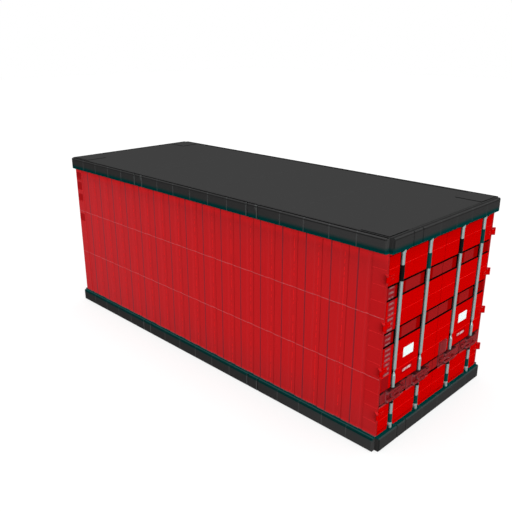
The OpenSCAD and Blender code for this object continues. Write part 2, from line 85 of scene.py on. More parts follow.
rodNames = ("left_outer", "left_inner", "right_inner", "right_outer")
rodY = {name: middle(name + "_rod").y for name in rodNames}
handleZ = middle("left_outer_handle").z
bandZ = [rowZ(number) for number in layout["bandRows"]]
bandHalf = layout["bandHalf"]
channelHalf = layout["channelHalf"]


def paint(red, green, blue):
    # a colour as read off a screen, 0 to 255, turned to the linear values that shaders take
    linear = []
    for part in (red, green, blue):
        share = part / 255
        linear.append(share / 12.92 if share <= 0.04045 else ((share + 0.055) / 1.055) ** 2.4)
    return (*linear, 1.0)


def darker(colour, share):
    return (*[part * share for part in colour[:3]], 1.0)


# settings that all the finishes share
shared = {
    "broadTone": (0.9, 2.0),  # slow changes of tone: noise scale and detail, then their share
    "broadShare": 0.6,
    "fineTone": (7.0, 4.0),
    "fineShare": 0.4,
    "edgeSamples": 4,
    "edgeTurn": (0.99, 0.80),  # cosine of the angle between the flat and the rounded normal
    "roughDetail": 4.0,
    "roughLevels": (0.3, 0.7),
}


class NodeSums:
    # sums that the nodes of a material or a world work out
    def __init__(self, owner):
        owner.use_nodes = True
        self.tree = owner.node_tree

    def node(self, kind):
        return self.tree.nodes.new(kind)

    def put(self, socket, value):
        if isinstance(value, bpy.types.NodeSocket):
            self.tree.links.new(value, socket)
        else:
            socket.default_value = value

    def split(self, vector):
        made = self.node("ShaderNodeSeparateXYZ")
        self.put(made.inputs[0], vector)
        return made.outputs

    def maths(self, operation, first, second=0.0):
        made = self.node("ShaderNodeMath")
        made.operation = operation
        self.put(made.inputs[0], first)
        self.put(made.inputs[1], second)
        return made.outputs[0]

    def less(self, first, second):
        return self.maths("SUBTRACT", first, second)

    def absolute(self, value):
        return self.maths("ABSOLUTE", value)

    def times(self, *shares):
        return reduce(lambda total, share: self.maths("MULTIPLY", total, share), shares)

    def most(self, *shares):
        return reduce(lambda total, share: self.maths("MAXIMUM", total, share), shares)

    def ease(self, value, low, high, start=0.0, end=1.0):
        # goes softly from start to end while the value goes from low to high
        made = self.node("ShaderNodeMapRange")
        made.interpolation_type = "SMOOTHSTEP"
        for socket, number in zip(made.inputs, (value, low, high, start, end)):
            self.put(socket, number)
        return made.outputs[0]

    def past(self, value, limit, soft=0.002):
        return self.ease(value, limit, limit + soft)

    def until(self, value, limit, soft=0.002):
        return self.ease(value, limit, limit + soft, 1.0, 0.0)

    def away(self, value, centre):
        return self.absolute(self.less(value, centre))

    def near(self, value, centre, half, soft=0.002):
        return self.until(self.away(value, centre), half, soft)

    def nearAny(self, value, centres, half, soft=0.002):
        return self.most(*[self.near(value, centre, half, soft) for centre in centres])

    def fold(self, value, start, pitch):
        # distance to the nearest of the lines that repeat every pitch from start
        return self.maths("PINGPONG", self.less(value, start), pitch / 2)

    def ribbed(self, value, start, pitch, half, soft):
        return self.until(self.less(self.fold(value, start, pitch), half), 0.0, soft)


class Finish(NodeSums):
    # one material: a first colour, and coats laid over it where the sums are high
    # its look gives the first colour and the shader's values: specular, metallic, rough, grain and bump
    def __init__(self, name, look):
        self.material = bpy.data.materials.new(name)
        super().__init__(self.material)
        self.look = look
        self.colour = look["colour"]
        self.shader = self.tree.nodes["Principled BSDF"]
        self.shader.inputs["Specular IOR Level"].default_value = look["specular"]
        self.shader.inputs["Metallic"].default_value = look.get("metallic", 0.0)
        self.place = self.node("ShaderNodeTexCoord").outputs["Object"]
        self.x, self.y, self.z = self.split(self.place)
        self.facing = dict(zip("xyz", self.split(self.node("ShaderNodeTexCoord").outputs["Normal"])))

    def field(self, alongY, alongZ, soft):
        # 1 inside an upright rectangle, given by its middle and half size each way
        return self.times(self.near(self.y, *alongY, soft), self.near(self.z, *alongZ, soft))

    def mixed(self, share, first, second):
        made = self.node("ShaderNodeMix")
        made.data_type = "RGBA"  # whose sockets are the seventh, the eighth and the third
        self.put(made.inputs[0], share)
        self.put(made.inputs[6], first)
        self.put(made.inputs[7], second)
        return made.outputs[2]

    def coat(self, colour, *shares):
        # lays a colour over the coats so far, where all the shares are high
        self.colour = self.mixed(self.times(*shares), self.colour, colour)

    def noise(self, scale, detail, stretch=None):
        made = self.node("ShaderNodeTexNoise")
        made.inputs["Scale"].default_value = scale
        made.inputs["Detail"].default_value = detail
        place = self.place
        if stretch:
            mapping = self.node("ShaderNodeMapping")
            mapping.inputs["Scale"].default_value = stretch
            self.put(mapping.inputs["Vector"], place)
            place = mapping.outputs[0]
        self.put(made.inputs["Vector"], place)
        return made.outputs[0]

    def patches(self, scale, detail, low, high, start=0.0, end=1.0, stretch=None):
        # noise of a scale and detail, eased from start to end between two of its levels
        return self.ease(self.noise(scale, detail, stretch), low, high, start, end)

    def edges(self, radius):
        # 1 along sharp edges
        bevel = self.node("ShaderNodeBevel")
        bevel.samples = shared["edgeSamples"]
        bevel.inputs["Radius"].default_value = radius
        dot = self.node("ShaderNodeVectorMath")
        dot.operation = "DOT_PRODUCT"
        self.put(dot.inputs[0], bevel.outputs[0])
        self.put(dot.inputs[1], self.node("ShaderNodeNewGeometry").outputs["Normal"])
        return self.ease(dot.outputs["Value"], *shared["edgeTurn"])

    def shade(self):
        # slow changes between the look's deep tone and its first colour
        broad = self.times(self.noise(*shared["broadTone"]), shared["broadShare"])
        fine = self.times(self.noise(*shared["fineTone"]), shared["fineShare"])
        cloud = self.maths("ADD", broad, fine)
        spread = self.look["spread"]
        paler = self.ease(cloud, 0.5 - spread, 0.5 + spread)
        self.colour = self.mixed(paler, self.look["deep"], self.colour)

    def bumps(self, height):
        strength, depth = self.look["bump"]
        made = self.node("ShaderNodeBump")
        made.inputs["Strength"].default_value = strength
        made.inputs["Distance"].default_value = depth
        self.put(made.inputs["Height"], height)
        self.put(self.shader.inputs["Normal"], made.outputs[0])

    def done(self, height=None):
        low, high, scale = self.look["rough"]
        uneven = self.patches(scale, shared["roughDetail"], *shared["roughLevels"], low, high)
        self.put(self.shader.inputs["Roughness"], uneven)
        self.bumps(height or self.noise(*self.look["grain"]))
        self.put(self.shader.inputs["Base Color"], self.colour)
        return self.material


def plainPaint(name, look):
    # with what the look has of a deep tone, patches of another colour and worn edges
    finish = Finish(name, look)
    if "deep" in look:
        finish.shade()
    if "other" in look:
        finish.coat(look["other"], finish.patches(*look["mottle"]))
    if "edge" in look:
        finish.coat(look["edge"], finish.edges(look["edgeWide"]), look["edgeShare"])
    return finish.done()


# in the looks below, numbers for noise stand in the order that patches takes them, and heights, places,
# and turns, which are parts of a face's normal, in the order that ease takes them

# charcoal paint of the rails, roof and corners
frameLook = {
    "colour": paint(51, 51, 51),
    "deep": darker(paint(51, 51, 51), 0.95),
    "spread": 0.22,
    "nearGrey": paint(59, 59, 59),  # a shade paler towards the doors
    "nearX": (1.1, 2.3),  # sets in between these two places
    "roof": paint(54, 54, 54),
    "roofUp": (0.0, 0.05),  # over the header line
    "edge": paint(70, 73, 73),
    "edgeWide": 0.005,
    "scuffs": (14.0, 5.0, 0.35, 0.6, 0.35, 0.9),
    "corner": paint(34, 35, 35),  # painted shade on the upright bevels at the ends of the sills and headers
    "cornerTurn": (0.3, 0.5),
    "cornerShare": (1.0, 0.2),  # on the end rails and on the side rails
    "levelTurn": (0.90, 0.98),  # faces that look up
    "onRail": (0.0, 0.01),  # distance out from the walls at which a rail begins
    "outerFace": (0.70, 0.75),  # as a share of how far the rails stand out
    "bevel": 0.012,
    "specular": 0.0, "rough": (0.48, 0.62, 30.0), "grain": (420.0, 2.0), "bump": (0.08, 0.0005),
}


def railSpots(finish):
    # where a point lies on the rails
    look = frameLook
    aside = finish.less(finish.absolute(finish.y), sideY)
    ahead = finish.less(finish.absolute(finish.x), doorX)
    reach = finish.most(aside, ahead)
    proud = finish.maths("DIVIDE", reach, railProud)
    return {
        "aside": aside,
        "ahead": ahead,
        "reach": reach,
        "proud": proud,
        "onSide": finish.ease(aside, *look["onRail"]),
        "onEnd": finish.ease(ahead, *look["onRail"]),
        "outside": finish.ease(proud, *look["outerFace"]),
        "level": finish.ease(finish.facing["z"], *look["levelTurn"]),
    }


def frameWear(finish, spots):
    # paler towards the doors and on the roof, rubbed along the edges, with painted shade on the upright
    # bevels
    look = frameLook
    finish.coat(look["nearGrey"], finish.ease(finish.x, *look["nearX"]), spots["onSide"])
    overHeader = finish.ease(finish.less(finish.z, headerZ), *look["roofUp"])
    finish.coat(look["roof"], spots["level"], overHeader)
    finish.coat(look["edge"], finish.edges(look["edgeWide"]), finish.patches(*look["scuffs"]))
    slants = [finish.ease(finish.absolute(finish.facing[way]), *look["cornerTurn"]) for way in "xy"]
    share = finish.ease(spots["aside"], *look["onRail"], *look["cornerShare"])
    finish.coat(look["corner"], *slants, share)


# teal cast on the top rails and about the ledges of the bottom rails, by height over their inner edges
castLook = {
    "topFrom": (-0.004, -0.001, 0.0, 1.0),
    "top": paint(0, 51, 50),
    "topTall": (0.030, 0.082, 1.0, 0.0),
    "brim": paint(0, 68, 66),
    "brimTall": (0.014, 0.018, 1.0, 0.0),
    "ledge": paint(0, 59, 58),
    "ledgeFrom": (-0.020, -0.012, 0.0, 1.0),
    "ledgeTall": (0.001, 0.004, 1.0, 0.0),
    "faceTall": (-0.070, 0.0, 0.0, 0.40),  # fainter, under the ledges of the side rails
    "sideLip": paint(40, 80, 78),
    "sideLipAt": (0.45, 0.50),  # as shares of how far the rails stand out
    "doorLip": paint(51, 59, 59),
    "doorLipAt": (0.76, 0.82),
    "foot": paint(4, 44, 43),  # painted shade line at the bevel's foot
    "footHalf": 0.011,
}


def topCast(finish):
    look = castLook
    up = finish.less(finish.z, headerZ)
    above = finish.ease(up, *look["topFrom"])
    finish.coat(look["top"], finish.ease(up, *look["topTall"]), above)
    finish.coat(look["brim"], finish.ease(up, *look["brimTall"]), above)


def ledgeCast(finish, spots):
    # teal ledges with a paler lip, a fainter cast under them and a painted shade line at the bevel's foot
    look = castLook
    up = finish.less(finish.z, sillZ)
    below = finish.ease(up, *look["ledgeTall"])
    ledge = finish.times(finish.ease(up, *look["ledgeFrom"]), below)
    face = finish.times(finish.ease(up, *look["faceTall"]), below, spots["onSide"])
    finish.coat(look["ledge"], finish.most(ledge, face))
    sideLip = finish.ease(spots["proud"], *look["sideLipAt"])
    finish.coat(look["sideLip"], ledge, sideLip, spots["level"], spots["onSide"])
    doorLip = finish.ease(spots["proud"], *look["doorLipAt"])
    finish.coat(look["doorLip"], ledge, doorLip, spots["onEnd"])
    foot = finish.near(up, -frameLook["bevel"], look["footHalf"])
    finish.coat(look["foot"], foot, spots["outside"], spots["onSide"])


# pale seams of the rails, and the two painted shade lines along their top bevels
seamLook = {
    "seam": paint(92, 95, 95),
    "half": 0.0045,
    "soft": 0.003,
    "onSide": (0.004, 0.006, 0.0, 0.40),  # distances out from the walls, and strengths
    "onEnd": (0.004, 0.006, 0.0, 0.18),
    "offLedge": (0.026, 0.030, 0.3, 1.0),  # fainter about the ledges
    "innerBays": (2.3, 2.4),  # seams at whole bays end here, counted from the middle
    "outerBays": (6.25, 2.0),  # stretch of the seams at half bays: middle and half length
    "outerSoft": 0.01,
    "endBays": (1.0, 1.5, 2.5, 3.5, 4.5, 5.5),
    "notchBays": (-0.25, 0.25),  # notches at both sides of a joint block
    "notchHalf": 0.016,
    "tabTall": 0.090,  # the blocks' right seams widen over this height
    "tabWide": 0.014,
    "foot": paint(40, 40, 40),  # shadow line under the bevel
    "footHalf": 0.006,
    "gap": paint(12, 12, 12),  # painted shade line inside the bevel
    "gapReach": (0.028, 0.014),  # out from the walls: middle and half width
    "gapTall": (0.003, 0.006, 1.0, 0.0),  # down from the top
    "gapShare": (0.5, 1.0),  # on the end rails and on the side rails
}


def jointSeams(finish):
    # two seams at each joint block, the right one widening upwards
    look = seamLook
    bevelZ = railTop - frameLook["bevel"]
    lean = finish.ease(finish.z, railTop - look["tabTall"], bevelZ, 0.0, look["tabWide"])
    leaning = finish.maths("ADD", finish.x, lean)
    wide = finish.maths("ADD", lean, look["half"])
    lines = []
    for joint in (-layout["jointBay"], layout["jointBay"]):
        left, right = [(joint + notch) * sideBay - look["notchHalf"] for notch in look["notchBays"]]
        lines.append(finish.near(finish.x, left, look["half"], look["soft"]))
        lines.append(finish.until(finish.less(finish.away(leaning, right), wide), 0.0, look["soft"]))
    return lines


def sideSeams(finish, spots):
    look = seamLook
    far = finish.absolute(finish.x)
    inner = finish.ribbed(finish.x, 0.0, sideBay, look["half"], look["soft"])
    start, end = [bays * sideBay for bays in look["innerBays"]]
    between = finish.ease(far, start, end, 1.0, 0.0)
    outer = finish.ribbed(finish.x, sideBay / 2, sideBay, look["half"], look["soft"])
    centre, half = [bays * sideBay for bays in look["outerBays"]]
    beyond = finish.near(far, centre, half, look["outerSoft"])
    lines = [finish.times(inner, between), finish.times(outer, beyond), *jointSeams(finish)]
    onSide = finish.ease(spots["aside"], *look["onSide"])
    offLedge = finish.ease(finish.away(finish.z, sillZ), *look["offLedge"])
    return finish.times(finish.most(*lines), onSide, offLedge)


def endSeams(finish, spots):
    look = seamLook
    along = finish.maths("ADD", finish.y, sideY)
    lines = finish.nearAny(along, [bays * endBay for bays in look["endBays"]], look["half"], look["soft"])
    return finish.times(lines, finish.ease(spots["ahead"], *look["onEnd"]))


def bevelLines(finish, spots):
    look = seamLook
    down = finish.less(railTop, finish.z)
    foot = finish.near(down, frameLook["bevel"] + look["footHalf"], look["footHalf"])
    finish.coat(look["foot"], foot, spots["outside"])
    strip = finish.near(spots["reach"], *look["gapReach"])
    share = finish.ease(spots["aside"], *frameLook["onRail"], *look["gapShare"])
    finish.coat(look["gap"], strip, finish.ease(down, *look["gapTall"]), share)


def framePaint():
    look = frameLook
    finish = Finish("frame_paint", look)
    spots = railSpots(finish)
    finish.shade()
    frameWear(finish, spots)
    topCast(finish)
    ledgeCast(finish, spots)
    finish.coat(seamLook["seam"], finish.most(sideSeams(finish, spots), endSeams(finish, spots)))
    bevelLines(finish, spots)
    return finish.done()


# red paint of the walls and posts, with painted shade near the rails and a painted highlight right beside
# them
wallLook = {
    "colour": paint(211, 34, 38),
    "deep": darker(paint(211, 34, 38), 0.96),
    "spread": 0.2,
    # painted shade near the rails
    "shadedRed": paint(196, 38, 42),
    "sillShade": (0.10, 0.50, 0.8, 0.0),  # distances from the rail, and strengths
    "headerShade": (0.12, 0.55, 0.50, 0.0),
    "faded": paint(209, 52, 57),  # towards the front end
    "fadedFrom": 1.5,
    "fadedShare": 0.8,
    "railHighlight": paint(246, 40, 44),  # painted highlight right beside the rails
    "headerHighlight": (0.0, 0.14, 0.95, 0.0),
    "sillHighlight": (0.0, 0.06, 0.5, 0.0),
    "foot": paint(142, 82, 86),  # pale joint along the bottom rails
    "footTall": (0.010, 0.014, 0.9, 0.0),
    "dust": paint(206, 58, 62),  # thin streaks that run down, and the edges
    "streaks": (3.0, 4.0, 0.62, 0.85, 0.0, 0.14, (6.0, 6.0, 0.35)),
    "edgeWide": 0.003,
    "edgeShare": 0.2,
    "specular": 0.0, "rough": (0.42, 0.58, 18.0), "grain": (480.0, 2.0), "bump": (0.08, 0.0005),
}


def wallShadingAndTint(finish):
    # painted shade near the rails, a paler tint towards the front end, and a painted highlight right
    # beside the rails
    look = wallLook
    fromSill = finish.less(finish.z, sillZ)
    fromHeader = finish.less(headerZ, finish.z)
    lowShade = finish.ease(fromSill, *look["sillShade"])
    finish.coat(look["shadedRed"], finish.most(lowShade, finish.ease(fromHeader, *look["headerShade"])))
    finish.coat(look["faded"], finish.ease(finish.x, look["fadedFrom"], -doorX, 0.0, look["fadedShare"]))
    topHighlight = finish.ease(fromHeader, *look["headerHighlight"])
    finish.coat(look["railHighlight"], finish.most(topHighlight, finish.ease(fromSill, *look["sillHighlight"])))


def wallDust(finish):
    look = wallLook
    finish.coat(look["foot"], finish.ease(finish.less(finish.z, sillZ), *look["footTall"]))
    finish.coat(look["dust"], finish.patches(*look["streaks"]))
    finish.coat(look["dust"], finish.edges(look["edgeWide"]), look["edgeShare"])


# folded sheets: painted shade on the slopes, a painted highlight along the middles of the inner flats,
# dark seams
foldLook = {
    # painted shade on the slopes, by the way they face
    "slope": paint(174, 34, 38),
    "slopeTurn": (0.10, 0.30),
    "slopeX": (0.0, 2.0),  # the slopes' strengths change between these two places
    "doorward": (0.3, 0.55),
    "frontward": (0.6, 0.3),
    # painted highlight, in broken lines along the middles of the inner flats
    "bright": paint(240, 36, 38),
    "brightHalf": 0.0032,
    "dashes": (5.0, 1.0, 0.42, 0.52, 0.0, 1.0, (0.2, 0.2, 4.0)),
    "seam": paint(142, 43, 52),
    "farSeam": paint(139, 59, 67),  # the seams go grey towards the front end
    "seamHalf": 0.0065,
    "soft": 0.003,
    "wideFrom": 1.0,  # the lines widen from here to the front end
    "brightWiden": 1.5,
    "seamWiden": 1.25,
}


def foldLines(finish, axis, start, pitch):
    look = foldLook
    along = finish.x if axis == "x" else finish.y
    facing = finish.facing[axis]
    flat, steep = look["slopeTurn"]
    share = finish.ease(finish.x, *look["slopeX"], *look["doorward"])
    doorward = finish.ease(facing, flat, steep, 0.0, share)
    share = finish.ease(finish.x, *look["slopeX"], *look["frontward"])
    frontward = finish.ease(facing, -steep, -flat, share, 0.0)
    finish.coat(look["slope"], finish.most(doorward, frontward))
    half = look["brightHalf"]
    thin = finish.ease(finish.x, look["wideFrom"], -doorX, half, look["brightWiden"] * half)
    line = finish.ribbed(along, start, pitch, thin, look["soft"])
    finish.coat(look["bright"], line, finish.patches(*look["dashes"]))
    half = look["seamHalf"]
    wide = finish.ease(finish.x, look["wideFrom"], -doorX, half, look["seamWiden"] * half)
    faded = finish.ease(finish.x, wallLook["fadedFrom"], -doorX)
    seam = finish.mixed(faded, look["seam"], look["farSeam"])
    finish.coat(seam, finish.ribbed(along, start + pitch / 2, pitch, wide, look["soft"]))


def sheetPaint(name, axis, start, pitch):
    look = wallLook
    finish = Finish(name, look)
    finish.shade()
    wallShadingAndTint(finish)
    foldLines(finish, axis, start, pitch)
    wallDust(finish)
    return finish.done()


# posts: a shade deeper, with painted shade on the faces towards the doors, and plain painted squares on
# the left front one
postLook = {
    "post": paint(203, 28, 32),
    "postShare": 0.9,
    "end": paint(162, 28, 31),  # painted shade on the faces and edges towards the doors, beside the leaves
    "endTurn": (0.3, 0.5, 0.0, 0.9),
    "block": paint(176, 24, 28),
    "blockIn": 0.085,  # middle of the squares, from the front end
    "blockHalf": 0.062,
    "blockRows": (7.4, 9.3, 10.4, 11.3),
    "blockDeep": (-0.002, -0.001, 0.0, 1.0),  # out from the wall's face
}


def postPaint():
    look = postLook
    finish = Finish("post_paint", wallLook)
    finish.shade()
    finish.coat(look["post"], look["postShare"])
    wallShadingAndTint(finish)
    finish.coat(look["end"], finish.ease(finish.facing["x"], *look["endTurn"]))
    square = finish.near(finish.x, look["blockIn"] - doorX, look["blockHalf"])
    rows = finish.nearAny(finish.z, map(rowZ, look["blockRows"]), look["blockHalf"])
    onLeft = finish.ease(finish.less(-sideY, finish.y), *look["blockDeep"])
    finish.coat(look["block"], square, rows, onLeft)
    wallDust(finish)
    return finish.done()


# brighter red of the leaves, with painted shade in the pressed bands, painted black shadow lines at their
# rims and painted black shade in the rod channels
doorLook = {
    "colour": paint(199, 0, 0),
    "deep": paint(195, 0, 0),
    "spread": 0.24,
    "faceDeep": 0.030,  # the marks of the outer face reach this far in
    # painted shade in the pressed bands, darker near the rods
    "band": paint(148, 0, 0),
    "bandMiddle": paint(154, 25, 26),
    "bandIn": 0.004,
    "panels": ((-0.6125, 0.13), (0.0, 0.20), (0.6125, 0.10)),  # stretches with less painted shade, away from the rods: middle, half width
    "panelSoft": 0.03,
    # painted black shade, at the rims of the bands and in the rod channels
    "black": paint(7, 5, 5),
    "lowRim": (0.005, 0.0070),  # painted black shadow lines along the edges of the bands: how far inside, half height
    "topRim": (0.018, 0.0130),
    "rimSoft": 0.001,
    "graze": paint(166, 52, 54),  # pale line under the backing plates
    "grazeHalf": 0.235,
    "grazeSoft": 0.004,
    "grazeZ": (0.008, 0.009),  # how far under the lowest band, half height
    "channelSoft": 0.0004,
    "channelFace": (0.0002, 0.0006),  # the black begins at these depths
    "channelFloor": 0.0005,  # and ends over this height at the bottom
    "specular": 0.0, "rough": (0.38, 0.52, 24.0), "grain": (520.0, 2.0), "bump": (0.08, 0.0004),
}


def bandShading(finish, outside):
    # painted shade in the pressed bands, paler in the stretches between the rods
    look = doorLook
    paler = [finish.near(finish.y, *panel, look["panelSoft"]) for panel in look["panels"]]
    tone = finish.mixed(finish.most(*paler), look["band"], look["bandMiddle"])
    for z in bandZ:
        finish.coat(tone, finish.near(finish.z, z, bandHalf - look["bandIn"]), outside)


def bandRims(finish, outside):
    # painted black shadow lines along the rims of each band, and the pale line under the backing plates
    look = doorLook
    lowIn, lowHalf = look["lowRim"]
    topIn, topHalf = look["topRim"]
    for z in bandZ:
        low = finish.near(finish.z, z - bandHalf + lowIn, lowHalf, look["rimSoft"])
        top = finish.near(finish.z, z + bandHalf - topIn, topHalf, look["rimSoft"])
        finish.coat(look["black"], finish.most(low, top), outside)
    beside = finish.nearAny(finish.y, rodY.values(), look["grazeHalf"], look["grazeSoft"])
    down, half = look["grazeZ"]
    under = finish.near(finish.z, bandZ[0] - bandHalf - down, half)
    finish.coat(look["graze"], beside, under, outside)


def rodChannels(finish):
    # painted black shade inside the rod channels
    look = doorLook
    soft = look["channelSoft"]
    beside = finish.nearAny(finish.y, rodY.values(), channelHalf + soft, soft)
    below = finish.ease(finish.less(doorX, finish.x), *look["channelFace"])
    inside = finish.past(finish.x, doorX - layout["channelDeep"], look["channelFloor"])
    finish.coat(look["black"], beside, below, inside)


# plain painted fields on the leaves, each given by its middle and half size
fieldLook = {
    "column": paint(140, 30, 36),  # upright column beside the left post
    "columnShare": 0.8,
    "columnY": (-1.017, 0.062),
    "columnZ": (1.383, 0.530),
    "columnSoft": 0.004,
    "bar": paint(152, 104, 106),  # plain bars down the column
    "barIn": 0.018,
    "barHalf": 0.010,
    "barStep": rowStep / 3,  # three bars to a row
    "chips": (30.0, 3.0, 0.40, 0.55, 0.25, 0.85),
    "corner": paint(150, 14, 18),  # darker field over the lowest band
    "cornerY": (-1.030, 0.068),
    "cornerZ": (0.778, 0.086),
    "strip": paint(172, 0, 4),  # strip under each plate, with one bar
    "stripY": (0.607, 0.115),
    "stripZ": (0.805, 0.040),
    "stripBar": paint(216, 196, 196),
    "stripBarIn": 0.03,
    "stripBarHalf": 0.014,
    "soft": 0.003,
}


def columnBars(finish, chips):
    look = fieldLook
    soft = look["columnSoft"]
    column = finish.field(look["columnY"], look["columnZ"], soft)
    finish.coat(look["column"], column, look["columnShare"])
    middleY, halfY = look["columnY"]
    step = look["barStep"]
    across = finish.near(finish.y, middleY, halfY - look["barIn"], soft)
    bars = finish.ribbed(finish.z, look["columnZ"][0] + step / 2, step, look["barHalf"], soft)
    finish.coat(look["bar"], across, bars, column, chips)


def plateStrips(finish, chips):
    look = fieldLook
    middleY, halfY = look["stripY"]
    for y in (-middleY, middleY):
        finish.coat(look["strip"], finish.field((y, halfY), look["stripZ"], look["soft"]))
        barY = (y, halfY - look["stripBarIn"])
        barZ = (look["stripZ"][0], look["stripBarHalf"])
        finish.coat(look["stripBar"], finish.field(barY, barZ, look["soft"]), chips)


def leafFields(finish, outside):
    # all the plain fields, kept to the outer face
    look = fieldLook
    bare = finish.colour
    chips = finish.patches(*look["chips"])
    columnBars(finish, chips)
    finish.coat(look["corner"], finish.field(look["cornerY"], look["cornerZ"], look["soft"]))
    plateStrips(finish, chips)
    finish.colour = finish.mixed(outside, bare, finish.colour)


def doorPaint():
    look = doorLook
    finish = Finish("door_paint", look)
    finish.shade()
    outside = finish.past(finish.x, doorX - look["faceDeep"])
    bandShading(finish, outside)
    leafFields(finish, outside)
    bandRims(finish, outside)
    rodChannels(finish)
    return finish.done()


# the same red on the hinges, rubbed along the edges
hingeLook = {
    **doorLook,
    "edge": paint(206, 40, 40),
    "edgeWide": 0.003,
    "edgeShare": 0.4,
}


# galvanised rods: pale, with painted teal shade on the right flank and a painted black shadow under the
# housings
rodLook = {
    "colour": paint(136, 155, 154),
    "dull": paint(128, 147, 146),
    "dullShare": 0.5,
    "spangle": 260.0,
    "spangleTone": (0.2, 0.8),
    # painted teal shade on the right flank
    "flank": paint(82, 132, 130),
    "flankAt": (0.30, 0.75),  # sets in between these shares of the radius
    # painted black shadow under the housings
    "underShadow": paint(10, 12, 12),
    "underShadowZ": -0.103,  # from the middle of the lowest band
    "underShadowHalf": 0.016,
    "underShadowSoft": 0.004,
    "scraped": darker(paint(128, 147, 146), 0.7),
    "scrapes": (9.0, 6.0, 0.58, 0.75, 0.0, 0.35, (1.0, 1.0, 0.2)),
    "metallic": 0.75,
    "specular": 0.10, "rough": (0.34, 0.52, 40.0), "grain": (300.0, 2.0), "bump": (0.06, 0.0004),
}


def rodPaint(name, y):
    look = rodLook
    finish = Finish(name, look)
    cells = finish.node("ShaderNodeTexVoronoi")
    cells.inputs["Scale"].default_value = look["spangle"]
    finish.put(cells.inputs["Vector"], finish.place)
    spangles = finish.ease(cells.outputs["Color"], *look["spangleTone"])
    finish.coat(look["dull"], spangles, look["dullShare"])
    start, end = [layout["rodRadius"] * share for share in look["flankAt"]]
    finish.coat(look["flank"], finish.ease(finish.less(finish.y, y), start, end))
    shadowed = finish.near(finish.z, bandZ[0] + look["underShadowZ"], look["underShadowHalf"], look["underShadowSoft"])
    finish.coat(look["underShadow"], shadowed)
    finish.coat(look["scraped"], finish.patches(*look["scrapes"]))
    return finish.done()


# teal brackets, with two of the upper sleeves painted black and bare steel at the foot of the lowest
bracketLook = {
    "colour": paint(0, 66, 63),
    "deep": darker(paint(0, 66, 63), 0.85),
    "spread": 0.2,
    "edge": paint(40, 96, 92),
    "edgeWide": 0.003,
    "edgeShare": 0.5,
    "black": paint(10, 12, 12),
    "blackRods": ("left_outer", "right_inner"),
    "blackHalf": 0.05,
    "blackAbove": bandZ[-1],  # from the middle of the highest band
    "blackUnder": headerZ - 0.06,
    "bare": paint(146, 160, 159),
    "bareFrom": (-0.002, -0.001, 0.0, 1.0),  # heights over the foot, and strengths
    "bareTall": (0.030, 0.031, 1.0, 0.0),
    "specular": 0.03, "rough": (0.45, 0.6, 30.0), "grain": (380.0, 2.0), "bump": (0.12, 0.0005),
}


def bracketPaint():
    look = bracketLook
    finish = Finish("bracket_paint", look)
    finish.shade()
    finish.coat(look["edge"], finish.edges(look["edgeWide"]), look["edgeShare"])
    beside = finish.nearAny(finish.y, [rodY[name] for name in look["blackRods"]], look["blackHalf"])
    above = finish.past(finish.z, look["blackAbove"])
    under = finish.until(finish.z, look["blackUnder"])
    finish.coat(look["black"], beside, above, under)
    fromFoot = finish.less(finish.z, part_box("left_rod_brackets")[0].z)
    bare = [finish.ease(fromFoot, *look[stretch]) for stretch in ("bareFrom", "bareTall")]
    finish.coat(look["bare"], *bare)
    return finish.done()


# dark red of the handles, housings and lock box, rubbed pale along the edges, with painted highlights on
# the flanks that face the left and beside each housing, and painted shade lines along the backing plates
handleLook = {
    "colour": paint(131, 24, 28),
    "deep": paint(118, 21, 25),
    "spread": 0.35,
    # pale worn edges, and painted highlights on the left flanks and beside each housing
    "rubbedAndLit": paint(150, 92, 96),
    "edgeWide": 0.004,
    "rubs": (22.0, 4.0, 0.3, 0.6, 0.05, 0.2),
    "flankTurn": (-0.95, -0.6, 0.30, 0.0),  # painted highlight on the flanks that face the left
    "lineShare": 0.5,  # painted highlight line beside each housing
    "lineHalf": 0.0035,
    "housingHalf": 0.120,
    "rim": paint(20, 12, 13),  # painted shade lines along the upper and lower edges of the backing plates, broken in patches
    "rimTall": 0.013,
    "soft": 0.001,
    "chips": (16.0, 3.0, 0.35, 0.5, 0.35, 0.9),
    "specular": 0.03, "rough": (0.4, 0.58, 30.0), "grain": (420.0, 2.0), "bump": (0.12, 0.0005),
}


def handlePaint():
    look = handleLook
    finish = Finish("handle_paint", look)
    finish.shade()
    finish.coat(look["rubbedAndLit"], finish.edges(look["edgeWide"]), finish.patches(*look["rubs"]))
    finish.coat(look["rubbedAndLit"], finish.ease(finish.facing["y"], *look["flankTurn"]))
    lineY = [y - look["housingHalf"] for y in rodY.values()]
    lines = finish.nearAny(finish.y, lineY, look["lineHalf"], look["soft"])
    finish.coat(look["rubbedAndLit"], lines, look["lineShare"])
    rimZ = [end.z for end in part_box("left_handle_housings")]
    rims = finish.nearAny(finish.z, rimZ, look["rimTall"], look["soft"])
    finish.coat(look["rim"], rims, finish.patches(*look["chips"]))
    return finish.done()


# black rubber of the door seals, with a pale bloom
sealLook = {
    "colour": paint(24, 25, 25),
    "other": paint(44, 45, 45),
    "mottle": (12.0, 5.0, 0.4, 0.7),
    "specular": 0.15, "rough": (0.6, 0.8, 60.0), "grain": (700.0, 3.0), "bump": (0.25, 0.0006),
}


